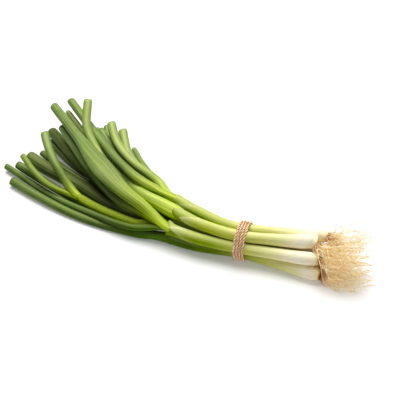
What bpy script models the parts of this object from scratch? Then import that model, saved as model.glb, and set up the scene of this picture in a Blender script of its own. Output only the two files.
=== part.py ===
"""A bunch of seven spring onions, tied with jute twine and lying on its side.

The origin is on the table, under the middle of the tie.  +X runs along the bunch to the roots,
+Y to the side that the leaves fan out to, and +Z is up.  Sizes and places are in millimetres,
and the meshes are made in metres.
"""
import math

import bmesh
import bpy
import numpy as np

# ---------------------------------------------------------------- driving dimensions (mm)
MM = 0.001                  # metres in a millimetre
STEM_DIAMETER = 11.4        # a shank where the twine holds it
PACK_PITCH = 11.7           # middle to middle of neighbouring shanks at the tie
TWINE_DIAMETER = 2.6
TWINE_TURNS = 4
TWINE_PITCH = 2.9           # from one turn to the next
KNOT_SIZE, KNOT_DEPTH = 2.5, 2.15
PRESSED_FLAT = 0.35         # how much of the twine's underside the weight of the bunch flattens
CLEARANCE = 0.3             # between pieces that touch
LEAF_CLEARANCE = 0.8        # between leaves that lie on each other
FORK_GAP = 0.4              # from the end of a shank to the leaves that go on from it
ROOT_LENGTH = 50.0
FORK_LEAN = (0.0, 0.14, 0.0)    # how far the leaves draw every shank aside at its fork
FORK_BEND = 16.0            # along the shank
ROOT_LEAN = (0.6, 0.22, -0.06)   # the way that every tuft is swept, as well as along its own onion
ROOT_REST = 7.5             # the lowest middle of a tuft's far end
NEAR_FORK = 45.0            # leaves part from each other within this distance of their fork
LEAF_FLATNESS = 0.86        # a leaf's thickness as a share of its width
MOUTH_DEPTH = 4.0           # of the open end of a cut leaf
LEAF_WALL = 0.8

TIE_HEIGHT = (PACK_PITCH * math.sin(math.radians(60)) + STEM_DIAMETER / 2
              + CLEARANCE + TWINE_DIAMETER - PRESSED_FLAT)
TIE_HALF_WIDTH = 8.0        # the shanks run straight this far either side of the tie's middle

# Each onion: its angle in the close pack at the tie (0 is the front, 90 the top, None the middle),
# the middle of its basal plate, the fork where its leaves part, the diameters of its bulb and of its
# fork, and the direction in which its leaves lie on each other at the fork, first leaf furthest
# along it.
ONIONS = {
    "onion_1": (120, (86, 14.5, 23.5), (-73, 29, 31), 14.0, 11.6, (0, 1, 0.15)),
    "onion_2": (60, (79, -1, 28), (-66, 9, 28), 15.5, 14.0, (0, -0.8, 0.6)),
    "onion_3": (0, (84, -13, 17.5), (-70, -3, 18), 13.5, 12.6, (0, 0.45, 0.9)),
    "onion_4": (-60, (86, -16, 8), (-70, -2, 6.5), 14.0, 11.6, (0, 1, 0.1)),
    "onion_5": (None, (90, 3, 16), (-72, 11, 17), 13.0, 11.0, (0, -1, 0)),
    "onion_6": (180, (80, 20, 12), (-70, 24, 19), 14.0, 11.6, (0, 0.5, 0.85)),
    "onion_7": (-120, (83, 1, 7), (-66, 12, 6), 13.0, 11.6, (0, -0.45, 0.9)),
}

# Each leaf: its width past the fork and at its cut end, how readily it gives way to the others, from 0
# to 1, and the places it runs through from the fork, the last of which is its cut end.
LEAVES = {
    "onion_1_leaf_a": (6.5, 5.5, 0.5, [(-87, 43, 30), (-103, 57, 26), (-126, 84, 20.5), (-160, 138, 8)]),
    "onion_1_leaf_b": (9, 9, 0.4, [(-115, 62, 30), (-144, 81, 33), (-168, 104, 40), (-179, 122, 48)]),
    "onion_1_leaf_c": (8, 8, 0.8, [(-103, 46, 31), (-134, 68, 28), (-168, 102, 32), (-192, 125, 37)]),
    "onion_1_leaf_d": (10, 8.5, 0.3, [(-113, 38, 36), (-149, 65, 38), (-194, 113, 38), (-239, 157, 46)]),
    "onion_2_leaf_a": (10, 8.8, 0.3, [(-100, 16, 34), (-139, 55, 30), (-177, 86, 31), (-202, 110, 46),
                                  (-211, 139, 63)]),
    "onion_2_leaf_b": (5.5, 5.5, 0.8, [(-112, 29, 25), (-163, 71, 22), (-205, 117, 28), (-242, 154, 33)]),
    "onion_2_leaf_c": (7.5, 7, 1.0, [(-105, 37, 18), (-151, 70, 17), (-187, 105, 14), (-243, 168, 14)]),
    "onion_3_leaf_a": (10, 9.6, 0.1, [(-103, 11, 30), (-132, 24, 38), (-160, 45, 43), (-206, 92, 45),
                                   (-252, 140, 47)]),
    "onion_3_leaf_b": (8.5, 8.5, 0.4, [(-100, 10, 21), (-134, 23, 22), (-172, 53, 26), (-235, 119, 35)]),
    "onion_3_leaf_c": (6.5, 6.5, 0.2, [(-106, -2, 13), (-153, 8, 8.5), (-205, 29, 4.5), (-284, 72, 5)]),
    "onion_4_leaf_a": (7, 9, 1.0, [(-110, 9, 4), (-145, 16, 4), (-213, 47, 4), (-271, 74, 8)]),
    "onion_4_leaf_b": (7, 9.5, 0.15, [(-129, 2, 4), (-164, 8, 4), (-241, 35, 5), (-267, 48, 5)]),
    "onion_5_leaf_a": (7.2, 6, 0.3, [(-213, 37, 13), (-228, 44, 15), (-246, 56, 19), (-262, 68, 26)]),
    "onion_5_leaf_b": (9, 8.8, 0.3, [(-207, 46, 24), (-219, 56, 31), (-231, 70, 38), (-243, 89, 45)]),
    "onion_5_leaf_c": (13, 15, 0.8, [(-100, 14, 7.5), (-141, 32, 7), (-196, 61, 6.5), (-236, 77, 7.5),
                                   (-264, 90, 9)]),
    "onion_6_leaf_a": (9.5, 9.5, 0.7, [(-98, 47, 18), (-128, 80, 20), (-155, 107, 26), (-169, 133, 34)]),
    "onion_6_leaf_b": (6, 6, 1.0, [(-100, 55, 17), (-150, 100, 17), (-188, 136, 17), (-197, 154, 22)]),
    "onion_6_leaf_c": (8.5, 8.5, 1.0, [(-100, 45, 12), (-136, 84, 10), (-180, 129, 9), (-212, 162, 9)]),
    "onion_7_leaf_a": (12, 11, 0.5, [(-100, 28, 17), (-137, 34, 14), (-194, 78, 14), (-254, 133, 17)]),
    "onion_7_leaf_b": (8, 7, 1.0, [(-100, 28, 5.5), (-145, 48, 5), (-205, 75, 5), (-255, 104, 7)]),
    "onion_7_leaf_c": (9, 8, 1.0, [(-100, 37, 5), (-141, 60, 6), (-202, 86, 7), (-255, 126, 9)]),
}
# A leaf that swells broad and flat on its way: by how much, how far along it and over what share of it.
BROAD_LEAVES = {"onion_3_leaf_a": (12.5, 0.45, 0.19)}
# The young stem inside the middle onion runs on past the fork, and two of its leaves part there.
YOUNG_STEM = "onion_5_young_stem"
LEAVES[YOUNG_STEM] = (9.0, 9.0, 0.3, [(-106, 5, 13), (-130, 7, 13), (-160, 18, 13), (-184, 30, 14)])

SHANK_STATION, LEAF_STATION = 5.0, 5.0      # between the stations where a strand is held clear
SHANK_SIDES, LEAF_SIDES, ROOT_SIDES = 12, 10, 12
SHANK_RING, LEAF_RING, ROOT_RING = 11.0, 16.0, 8.0   # rough distance between a skin's rings


# ---------------------------------------------------------------- routes
def unit(vector):
    vector = np.asarray(vector, dtype=float)
    return vector / np.linalg.norm(vector, axis=-1, keepdims=True)


def smooth_route(knots, spacing):
    """Evenly spaced stations on a smooth curve through the knots."""
    knots = np.asarray(knots, dtype=float)
    chord = np.concatenate([[0.0], np.cumsum(np.linalg.norm(np.diff(knots, axis=0), axis=1))])
    slopes = np.gradient(knots, chord, axis=0)
    fine = np.linspace(0.0, chord[-1], 400)
    span = np.clip(np.searchsorted(chord, fine, side="right") - 1, 0, len(knots) - 2)
    length = (chord[span + 1] - chord[span])[:, None]
    t = (fine - chord[span])[:, None] / length
    curve = ((2 * t**3 - 3 * t**2 + 1) * knots[span] + (t**3 - 2 * t**2 + t) * length * slopes[span]
             + (3 * t**2 - 2 * t**3) * knots[span + 1] + (t**3 - t**2) * length * slopes[span + 1])
    return respace(curve, spacing)


def respace(curve, spacing):
    """The same curve with evenly spaced points, about this far apart."""
    along = np.concatenate([[0.0], np.cumsum(np.linalg.norm(np.diff(curve, axis=0), axis=1))])
    count = max(3, round(along[-1] / spacing) + 1)
    even = np.linspace(0.0, along[-1], count)
    return np.stack([np.interp(even, along, curve[:, axis]) for axis in range(3)], axis=1)


def length_along(points):
    return np.concatenate([[0.0], np.cumsum(np.linalg.norm(np.diff(points, axis=0), axis=1))])


def strand(name, points, half_width, half_thickness, facing, ease):
    """A shank, leaf or tuft: its stations, its oval half sizes, the way its flat side faces, and
    how freely each station can be pushed aside, from 0 to 1."""
    return {"name": name, "points": points, "start": points.copy(), "a": half_width,
            "b": half_thickness, "facing": facing, "ease": ease}


def section_axes(made):
    """Unit vectors along, across and out of the flat side of a strand at each station."""
    facing = made["facing"]
    along = unit(np.gradient(made["points"], axis=0))
    along[0] = made.get("heading", along[0])
    flat = unit(facing - np.sum(facing * along, axis=1, keepdims=True) * along)
    return along, np.cross(along, flat), flat


def settle(strands, rounds):
    """Push strands apart until their skins just clear each other and the table.

    The push is spread along each strand, so that its curve stays smooth.
    """
    owner = np.concatenate([np.full(len(s["points"]), i) for i, s in enumerate(strands)])
    a, b, ease = (np.concatenate([s[key] for s in strands]) for key in ("a", "b", "ease"))
    start = np.concatenate([s["start"] for s in strands])
    edges = np.flatnonzero(np.diff(owner)) + 1
    parts = np.split(np.arange(len(owner)), edges)
    moved = np.zeros_like(start)
    for turn in range(rounds):
        place = start + moved
        for part, s in zip(parts, strands):
            s["points"] = place[part]
        axes = [section_axes(s) for s in strands]
        across = np.concatenate([axis[1] for axis in axes])
        flat = np.concatenate([axis[2] for axis in axes])
        if turn % 10 == 0:
            gaps = np.linalg.norm(place[:, None] - place[None], axis=2)
            near = (gaps < a[:, None] + a[None] + 6.0) & (owner[:, None] < owner[None])
            near &= (ease[:, None] + ease[None]) > 0
            one, two = np.nonzero(near)
        apart = place[two] - place[one]
        gap = np.maximum(np.linalg.norm(apart, axis=1), 1e-6)
        way = apart / gap[:, None]
        reach = sum(np.hypot(a[i] * np.sum(way * across[i], axis=1), b[i] * np.sum(way * flat[i], axis=1))
                    for i in (one, two))
        short = np.maximum(reach + LEAF_CLEARANCE - gap, 0.0)
        share = ease[one] / (ease[one] + ease[two])
        push = np.zeros_like(start)
        hits = np.full(len(start), 1e-9)
        for index, weight, sign in ((one, share, -1.0), (two, 1.0 - share, 1.0)):
            np.add.at(push, index, sign * (short * weight)[:, None] * way)
            np.add.at(hits, index, (short > 0) * 1.0)
        moved += push / np.sqrt(np.maximum(hits, 1.0))[:, None] * 0.6
        smoothings = 2 if turn < 0.6 * rounds else 1 if turn < 0.95 * rounds else 0
        for part in parts:
            for _ in range(smoothings):
                shift = moved[part]
                shift[1:-1] = 0.25 * shift[:-2] + 0.5 * shift[1:-1] + 0.25 * shift[2:]
                shift[-1] = 0.5 * (shift[-1] + shift[-2])
                moved[part] = shift
        moved *= (ease > 0)[:, None]
        low = np.hypot(a * across[:, 2], b * flat[:, 2]) - (start + moved)[:, 2]
        moved[:, 2] += np.where(ease > 0, np.maximum(low, 0.0), 0.0)
    for part, s in zip(parts, strands):
        s["points"] = start[part] + moved[part]


# ---------------------------------------------------------------- shanks and tufts
def pack_place(angle):
    """Where an onion's shank passes through the tie, as y and z."""
    if angle is None:
        return 0.0, TIE_HEIGHT
    return (-PACK_PITCH * math.cos(math.radians(angle)),
            TIE_HEIGHT + PACK_PITCH * math.sin(math.radians(angle)))


def shank_radius(along, bulb, fork):
    """Half the thickness of a shank, by its distance from the basal plate: a bulb, its neck, and
    the stem that swells a little before the fork."""
    knots = [0.0, 1.5, 6.0, 14.0, 30.0, 55.0, 80.0, 125.0, 155.0]
    sizes = [0.30 * bulb, 0.40 * bulb, 0.48 * bulb, 0.5 * bulb, 6.1, 5.75, STEM_DIAMETER / 2, 5.8, fork / 2]
    return np.interp(along, knots, sizes)


def tuft_radius(along):
    knots = [0.0, 0.12, 0.4, 0.75, 1.0]
    return np.interp(along / ROOT_LENGTH, knots, [4.2, 6.0, 9.0, 8.0, 4.0])


def shank_strand(name):
    """The strand of a shank, from the fork to the basal plate and on through the roots."""
    angle, plate, fork, bulb, fork_size, _ = ONIONS[name]
    y, z = pack_place(angle)
    plate, fork = np.array(plate, float), np.array(fork, float)
    tie = [np.array([x, y, z]) for x in (-TIE_HALF_WIDTH, TIE_HALF_WIDTH)]
    root_end = plate + unit(unit(plate - tie[1]) + ROOT_LEAN) * ROOT_LENGTH
    root_end[2] = max(root_end[2], ROOT_REST)
    leaning = unit(fork - tie[0]) + FORK_LEAN
    before_fork = fork - unit(leaning) * FORK_BEND
    points = smooth_route([fork, before_fork, tie[0], tie[1], plate, root_end], SHANK_STATION)
    along = length_along(points)
    plate_at = along[-1] - np.linalg.norm(root_end - plate)
    radius = np.where(along < plate_at, shank_radius(plate_at - along, bulb, fork_size),
                      tuft_radius(along - plate_at))
    from_tie = np.abs(points[:, 0]) - TIE_HALF_WIDTH
    ease = np.clip(from_tie / 40.0, 0.0, 1.0)
    made = strand(name, points, radius, radius.copy(), np.tile([0.0, 0.0, 1.0], (len(points), 1)), ease)
    made["plate_at"] = plate_at
    return made


def settled_shanks():
    shanks = [shank_strand(name) for name in ONIONS]
    settle(shanks, 120)
    return shanks


# ---------------------------------------------------------------- leaves
def fork_layers(names, radius):
    """How leaves share a round fork: for each, its place across the fork and its half sizes."""
    shares = [LEAVES[name][0] ** 2 for name in names]
    layers = []
    edge = radius
    for share in shares:
        thick = radius * share / sum(shares)
        place = edge - thick
        layers.append((place, 0.94 * math.sqrt(radius**2 - place**2), thick - 0.3))
        edge -= 2 * thick
    return layers


def leaf_strand(name, fork, heading, layer_way, layer):
    """The strand of a leaf, which starts as a thin layer of the fork and swells to its own oval."""
    width, end_width, give, knots = LEAVES[name]
    place, base_a, base_b = layer
    base = fork + layer_way * place
    points = smooth_route([base, base + heading * 14.0] + knots, LEAF_STATION)
    along = length_along(points)
    swell = np.clip(along / NEAR_FORK, 0.0, 1.0)
    swell = swell**2 * (3 - 2 * swell)
    half = (width + (end_width - width) * along / along[-1]) / 2
    extra, middle, spread = BROAD_LEAVES.get(name, (0.0, 0.5, 1.0))
    broad = extra / 2 * np.exp(-((along / along[-1] - middle) / spread) ** 2)
    a = base_a + (half + broad - base_a) * swell
    b = base_b + (half * LEAF_FLATNESS - base_b) * swell
    facing = unit(layer_way[None] * (1 - swell[:, None]) + np.array([0, -0.25, 0.97])[None] * swell[:, None])
    ease = give * np.clip((along - 3.0) / 20.0, 0.0, 1.0)
    made = strand(name, points, a, b, facing, ease)
    made["heading"] = heading
    return made


def fork_leaves(names, fork, heading, way, radius):
    """The strands of the leaves that part at one fork."""
    way = unit(way - np.dot(way, heading) * heading)
    layers = fork_layers(names, radius)
    made = []
    for name, layer in zip(names, layers):
        made.append(leaf_strand(name, fork + heading * FORK_GAP, heading, way, layer))
    return made


def settled_leaves(shanks):
    """Every leaf, parted at its fork and lying clear of the others."""
    strands = []
    for shank in shanks:
        name = shank["name"]
        names = [leaf for leaf in LEAVES if leaf.startswith(name)]
        if name == "onion_5":
            names = [YOUNG_STEM, "onion_5_leaf_c"]
        heading = unit(shank["points"][0] - shank["points"][2])
        strands += fork_leaves(names, shank["points"][0], heading, np.array(ONIONS[name][5], float),
                               shank["a"][0])
    young = next(s for s in strands if s["name"] == YOUNG_STEM)
    held = [dict(s, ease=np.zeros(len(s["points"]))) for s in shanks]
    settle(strands + held, 150)
    heading = unit(young["points"][-1] - young["points"][-3])
    pair = fork_leaves(["onion_5_leaf_b", "onion_5_leaf_a"], young["points"][-1], heading,
                       np.array([0.0, -0.1, 0.99]), young["a"][-1])
    for s in strands:
        s["start"] = s["points"].copy()
    strands += pair
    settle(strands + held, 150)
    return strands


# ---------------------------------------------------------------- skins
def oval_ring(centre, across, flat, a, b, sides):
    """Points round an oval section, flattened where it would sink into the table."""
    turn = (np.arange(sides) + 0.5) * 2 * math.pi / sides - math.pi / 2
    ring = centre + np.outer(np.cos(turn) * a, across) + np.outer(np.sin(turn) * b, flat)
    ring[:, 2] = np.maximum(ring[:, 2], 0.0)
    return ring


def loft(name, rings, material):
    """A closed solid through rings of points that are alike in number."""
    body = bmesh.new()
    rows = [[body.verts.new(point * MM) for point in ring] for ring in rings]
    sides = len(rows[0])
    for low, high in zip(rows, rows[1:]):
        for i in range(sides):
            j = (i + 1) % sides
            body.faces.new((low[i], low[j], high[j], high[i]))
    body.faces.new(list(reversed(rows[0])))
    body.faces.new(rows[-1])
    bmesh.ops.recalc_face_normals(body, faces=body.faces)
    mesh = bpy.data.meshes.new(name)
    body.to_mesh(mesh)
    body.free()
    mesh.shade_smooth()
    mesh.set_sharp_from_angle(angle=math.radians(50))
    return add_object(name, mesh, material)


def add_object(name, mesh, material):
    piece = bpy.data.objects.new(name, mesh)
    piece.data.materials.append(material)
    bunch.objects.link(piece)
    return piece


def plain_material(name, colour, roughness):
    material = bpy.data.materials.new(name)
    material.use_nodes = True
    shader = material.node_tree.nodes["Principled BSDF"]
    shader.inputs["Base Color"].default_value = (*colour, 1.0)
    shader.inputs["Roughness"].default_value = roughness
    shader.inputs["Metallic"].default_value = 0.0
    return material


def stations_between(points, first, last, spacing):
    """Numbers along a strand, in stations, from first to last and about a spacing apart."""
    step = np.linalg.norm(points[1] - points[0])
    count = max(3, round((last - first) * step / spacing) + 1)
    return np.linspace(first, last, count)


def read_at(values, station):
    values = np.asarray(values)
    low = min(int(station), len(values) - 2)
    return values[low] + (values[low + 1] - values[low]) * (station - low)


def skin_rings(made, stations, sides):
    along, across, flat = section_axes(made)
    return [oval_ring(read_at(made["points"], at), read_at(across, at), read_at(flat, at),
                      read_at(made["a"], at), read_at(made["b"], at), sides) for at in stations]


def make_shank(made, material):
    """A bulb and its stem in one piece, closed at the fork and at the basal plate."""
    step = np.linalg.norm(made["points"][1] - made["points"][0])
    plate = made["plate_at"] / step
    stem = stations_between(made["points"], 0.0, plate - 22.0 / step, SHANK_RING)
    bulb = plate - np.array([15.0, 8.0, 3.0, 1.0, 0.0]) / step
    return loft(made["name"] + "_shank", skin_rings(made, [*stem, *bulb], SHANK_SIDES), material)


def make_roots(made, material):
    """The tuft of roots below a basal plate, as one body with lengthwise hollows."""
    step = np.linalg.norm(made["points"][1] - made["points"][0])
    first = (made["plate_at"] + CLEARANCE) / step
    rings = skin_rings(made, stations_between(made["points"], first, len(made["points"]) - 1, ROOT_RING),
                       ROOT_SIDES)
    rings = [np.where(np.arange(ROOT_SIDES)[:, None] % 2 == 1, ring, ring + (ring.mean(axis=0) - ring) * 0.12)
             for ring in rings]
    return loft(made["name"] + "_roots", rings, material)


def make_leaf(made, material, open_end=True):
    """A leaf, with the open mouth of the hollow leaf at its cut end."""
    parting = NEAR_FORK / np.linalg.norm(made["points"][1] - made["points"][0])
    stations = [*stations_between(made["points"], 0, parting, LEAF_RING / 2)[:-1],
                *stations_between(made["points"], parting, len(made["points"]) - 1, LEAF_RING)]
    rings = skin_rings(made, stations, LEAF_SIDES)
    if open_end:
        along, across, flat = section_axes(made)
        a, b = made["a"][-1] - LEAF_WALL, made["b"][-1] - LEAF_WALL
        for depth in (0.0, MOUTH_DEPTH):
            centre = made["points"][-1] - along[-1] * depth
            rings.append(oval_ring(centre, across[-1], flat[-1], a, b, LEAF_SIDES))
    return loft(made["name"], rings, material)


# ---------------------------------------------------------------- twine
def pack_outline(turn, away):
    """The y and z of a string drawn round the packed shanks, this far from their middles."""
    corner = math.floor((turn + 30.0) / 60.0) * 60.0
    lean = turn - corner
    y, z = pack_place(corner)
    return y - away * math.cos(math.radians(lean + corner)), z + away * math.sin(math.radians(lean + corner))


def twine_route():
    """Turns of twine wound close together round the shanks, from the back and to the back."""
    away = STEM_DIAMETER / 2 + CLEARANCE + TWINE_DIAMETER / 2
    steps = 24
    route = []
    for i in range(TWINE_TURNS * steps + 1):
        turn = 180.0 + i * 360.0 / steps
        y, z = pack_outline(turn, away)
        x = (i / steps - TWINE_TURNS / 2 + 0.75) * TWINE_PITCH
        route.append((x, y, z))
    return route


def tube(name, route, diameter, material):
    """Twine along a route, as a closed round tube with a flat side down."""
    curve = bpy.data.curves.new(name, "CURVE")
    curve.dimensions = "3D"
    curve.bevel_depth = diameter / 2 * MM
    curve.bevel_resolution = 2
    curve.use_fill_caps = True
    spline = curve.splines.new("POLY")
    spline.points.add(len(route) - 1)
    for point, place in zip(spline.points, route):
        point.co = (*(value * MM for value in place), 1.0)
    guide = bpy.data.objects.new(name, curve)
    bunch.objects.link(guide)
    mesh = bpy.data.meshes.new_from_object(guide.evaluated_get(bpy.context.evaluated_depsgraph_get()))
    bpy.data.objects.remove(guide)
    body = bmesh.new()
    body.from_mesh(mesh)
    bmesh.ops.remove_doubles(body, verts=body.verts, dist=0.01 * MM)
    for vertex in body.verts:
        if vertex.co.z < PRESSED_FLAT * MM:
            vertex.co.z = 0.0
    bmesh.ops.recalc_face_normals(body, faces=body.faces)
    body.to_mesh(mesh)
    body.free()
    mesh.shade_smooth()
    return add_object(name, mesh, material)


def knot_route():
    """An overhand knot behind the tie, with a tail from each end of it."""
    centre = np.array([1.5, PACK_PITCH + STEM_DIAMETER / 2 + TWINE_DIAMETER + 7.2, TIE_HEIGHT - 7.0])
    loops = []
    for i in range(25):
        t = 0.5 + (2 * math.pi - 1.0) * i / 24
        loops.append(centre + [KNOT_SIZE * (math.sin(t) + 2 * math.sin(2 * t)), KNOT_DEPTH * -math.sin(3 * t),
                               KNOT_SIZE * (math.cos(t) - 2 * math.cos(2 * t))])
    tail = np.array([(0.5, 4.0, -4.0), (4, 5.4, -5.8), (9, 5.2, -7.4), (16, 3.4, -8.9)])
    other_tail = tail[::-1] * (-1, -1, 1)
    return smooth_route([*(centre + other_tail), *loops, *(centre + tail)], 2.2)


# ---------------------------------------------------------------- the bunch
for old in list(bpy.data.objects):
    bpy.data.objects.remove(old)
bunch = bpy.data.collections.new("spring_onion_bunch")
bpy.context.scene.collection.children.link(bunch)

shank_skin = plain_material("white_and_green_shank", (0.75, 0.80, 0.42), 0.35)
leaf_skin = plain_material("green_leaf", (0.16, 0.32, 0.05), 0.4)
root_thread = plain_material("cream_root", (0.80, 0.64, 0.40), 0.8)
jute = plain_material("jute_twine", (0.55, 0.36, 0.18), 0.9)

shank_strands = settled_shanks()
leaf_strands = settled_leaves(shank_strands)
for made in shank_strands:
    make_shank(made, shank_skin)
    make_roots(made, root_thread)
for made in leaf_strands:
    make_leaf(made, leaf_skin, open_end=made["name"] != YOUNG_STEM)
tube("twine_wraps", twine_route(), TWINE_DIAMETER, jute)
tube("twine_knot", knot_route(), TWINE_DIAMETER, jute)
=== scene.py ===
"""Seven spring onions tied with jute twine, lying on their side.

Places and sizes are in millimetres in the bunch's own frame, and meshes are made in metres.
"""
import math

import bmesh
import bpy
import numpy as np
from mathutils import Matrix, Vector


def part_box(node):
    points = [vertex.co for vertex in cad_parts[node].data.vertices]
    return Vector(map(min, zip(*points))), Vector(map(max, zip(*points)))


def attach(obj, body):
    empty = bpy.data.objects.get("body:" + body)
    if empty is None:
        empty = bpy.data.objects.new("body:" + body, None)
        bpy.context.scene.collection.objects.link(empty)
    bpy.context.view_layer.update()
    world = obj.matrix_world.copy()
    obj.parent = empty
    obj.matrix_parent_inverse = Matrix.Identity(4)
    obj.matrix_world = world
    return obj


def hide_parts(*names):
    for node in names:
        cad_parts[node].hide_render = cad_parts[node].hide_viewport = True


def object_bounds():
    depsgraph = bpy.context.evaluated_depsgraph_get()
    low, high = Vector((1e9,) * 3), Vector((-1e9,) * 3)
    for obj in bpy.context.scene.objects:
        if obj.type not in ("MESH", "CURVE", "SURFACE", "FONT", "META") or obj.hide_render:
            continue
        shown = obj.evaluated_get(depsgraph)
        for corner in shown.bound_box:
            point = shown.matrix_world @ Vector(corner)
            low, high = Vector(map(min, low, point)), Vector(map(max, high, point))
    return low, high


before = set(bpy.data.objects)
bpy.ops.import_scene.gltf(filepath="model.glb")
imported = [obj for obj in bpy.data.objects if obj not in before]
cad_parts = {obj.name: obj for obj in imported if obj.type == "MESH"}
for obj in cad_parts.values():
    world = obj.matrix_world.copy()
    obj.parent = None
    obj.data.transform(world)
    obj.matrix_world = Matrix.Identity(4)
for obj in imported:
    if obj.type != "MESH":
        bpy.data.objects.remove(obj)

MM = 0.001                      # metres in a millimetre
cad_box = [list(corner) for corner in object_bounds()]

# ---------------------------------------------------------------------------------- camera
# Looks down on the bunch from the front and a little from the root end.
VIEW_TURN, VIEW_TILT = math.radians(16.5), math.radians(36)
VIEW_DISTANCE = 1.4         # metres, as the place below is
AIM = Vector((-0.0456, 0.0112, 0.0510))
away = Vector((math.sin(VIEW_TURN) * math.cos(VIEW_TILT), -math.cos(VIEW_TURN) * math.cos(VIEW_TILT),
               math.sin(VIEW_TILT)))
bpy.ops.object.camera_add(location=AIM + away * VIEW_DISTANCE,
                          rotation=(math.pi / 2 - VIEW_TILT, 0, VIEW_TURN))
camera = bpy.context.object
camera.data.sensor_width = 36
camera.data.lens = 126
bpy.context.scene.camera = camera

# ---------------------------------------------------------------------------------- shanks
# The white shank of a spring onion is a small bulb and the leaf sheaths wrapped in each other above
# it.  It is smooth, waxy and juicy: white where it grew in the soil, then yellow green.  At its top
# the outer sheath opens in a slanting mouth with a thin pale edge, and the leaves come out of it.
SHEATH_WALL = 0.45
SHANK_LUMPS = 0.14          # how high the soft lumps in its skin are
SHEATH_STEP = 0.18          # how far the outer sheath stands out at its mouth
MOUTH_SLANT = 32.0          # how far a mouth's edge falls back on its other side
# The skin goes on past the fork, drawn tight round the leaves: its length and its rings there, how
# far it lies off them, and how deep its end is tucked under, on average and more at the mouth's tip.
SLEEVE_LENGTH, SLEEVE_ROWS = 6.5, 5
SLEEVE_EASE, SLEEVE_TUCK, SLEEVE_TUCK_MORE = 0.3, 1.2, 0.4
# A shank closes at its basal plate: each ring's size against its first, and how far it lies below.
PLATE_SIZES, PLATE_DEPTHS = np.array([0.0, 0.4, 0.75, 0.93]), np.array([1.5, 1.4, 1.1, 0.6])
# A leaf is still gathered in its sheath past the fork: its size there against the stem's, and for
# how far.  The main leaf of an onion is nearly as thick as its stem.
GATHER, GATHER_MAIN = (0.7, 45.0), (0.96, 90.0)
MAIN_LEAVES = ["onion_1_leaf_d", "onion_2_leaf_a", "onion_3_leaf_a", "onion_4_leaf_b", "onion_5_leaf_b"]
PARTING_LENGTH = 44.0       # how far past the fork a leaf has its own way
ROUTE_SPACING = 4.0         # between the rings of a gathered leaf's route
SHANK_COLUMNS, SHANK_SPACING = 48, 1.5
SHANK_GIRTH = math.pi * 12  # veins are laid out on a stem this far round
SHANK_TINTS = 180.0         # a shank's colours are laid out along this length
CAD_SHANK_SIDES, CAD_LEAF_SIDES = 12, 10
CAD_MOUTH_RINGS = 2         # the last rings of a CAD leaf line its open end
FAR = 10000.0               # a place this far along X is nearest to a strand's root end
LOWEST = 0.1                # no skin or hair comes nearer to the table than this
UP = np.array([0.0, 0.0, 1.0])

ONIONS = [f"onion_{number}" for number in range(1, 8)]
YOUNG_STEM = "onion_5_young_stem"
# How far up from the basal plate each shank stays white.
WHITE_LENGTH = {"onion_1": 37, "onion_2": 32, "onion_3": 40, "onion_4": 25, "onion_5": 34,
                "onion_6": 33, "onion_7": 30}
# The greens halfway up a shank, at its fork, and of the younger leaf that shows inside its mouth.
BRIGHT_GREENS = ("#AABA12", "#96AA02", "#9AAE06")
DARK_GREENS = ("#7E930A", "#5E7A04", "#627E06")
YOUNG_GREENS = ("#B8BC20", "#94A806", "#9AAE08")
SHANK_GREENS = {"onion_2": ("#BCC634", "#96AA06", "#9AAE0C"),
                "onion_3": ("#9EB20A", "#869C00", "#8EA404"),
                "onion_4": DARK_GREENS, "onion_7": DARK_GREENS}
# The tip of each mouth: its turn from the top, and how far past the fork it reaches.
MOUTHS = {"onion_1": (262, 4), "onion_2": (290, -3), "onion_3": (325, 3), "onion_4": (60, 4),
          "onion_5": (90, 4), "onion_6": (0, 4), "onion_7": (180, 4), YOUNG_STEM: (240, 2)}


def unit(vector):
    vector = np.asarray(vector, dtype=float)
    return vector / np.linalg.norm(vector, axis=-1, keepdims=True)


def length_along(points):
    return np.concatenate([[0.0], np.cumsum(np.linalg.norm(np.diff(points, axis=0), axis=1))])


def bent(t, start, start_slope, end, end_slope):
    """A cubic curve from start to end with a slope at each, at t from 0 to 1."""
    return ((2 * t**3 - 3 * t**2 + 1) * start + (t**3 - 2 * t**2 + t) * start_slope
            + (3 * t**2 - 2 * t**3) * end + (t**3 - t**2) * end_slope)


def smooth_between(values, along, wanted):
    """Values on a smooth curve through the given ones, at the wanted distances along it."""
    slopes = np.gradient(values, along, axis=0)
    span = np.clip(np.searchsorted(along, wanted, side="right") - 1, 0, len(along) - 2)
    length = (along[span + 1] - along[span])[:, None]
    t = (wanted - along[span])[:, None] / length
    return bent(t, values[span], length * slopes[span], values[span + 1], length * slopes[span + 1])


def oval(points, ahead):
    """A ring of points as its middle and two half axes: p to its highest place, q a quarter turn on."""
    middle = points.mean(axis=0)
    spread = points - middle
    _, _, plane = np.linalg.svd(spread)
    spread = spread[np.argsort(np.arctan2(spread @ plane[1], spread @ plane[0]))]
    turn = np.arange(len(points)) * 2 * math.pi / len(points)
    p, q = (2 / len(points) * wave(turn) @ spread for wave in (np.cos, np.sin))
    top = math.atan2(q[2], p[2])
    p, q = p * math.cos(top) + q * math.sin(top), q * math.cos(top) - p * math.sin(top)
    return middle, p, q if np.dot(np.cross(p, q), ahead) > 0 else -q


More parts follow.
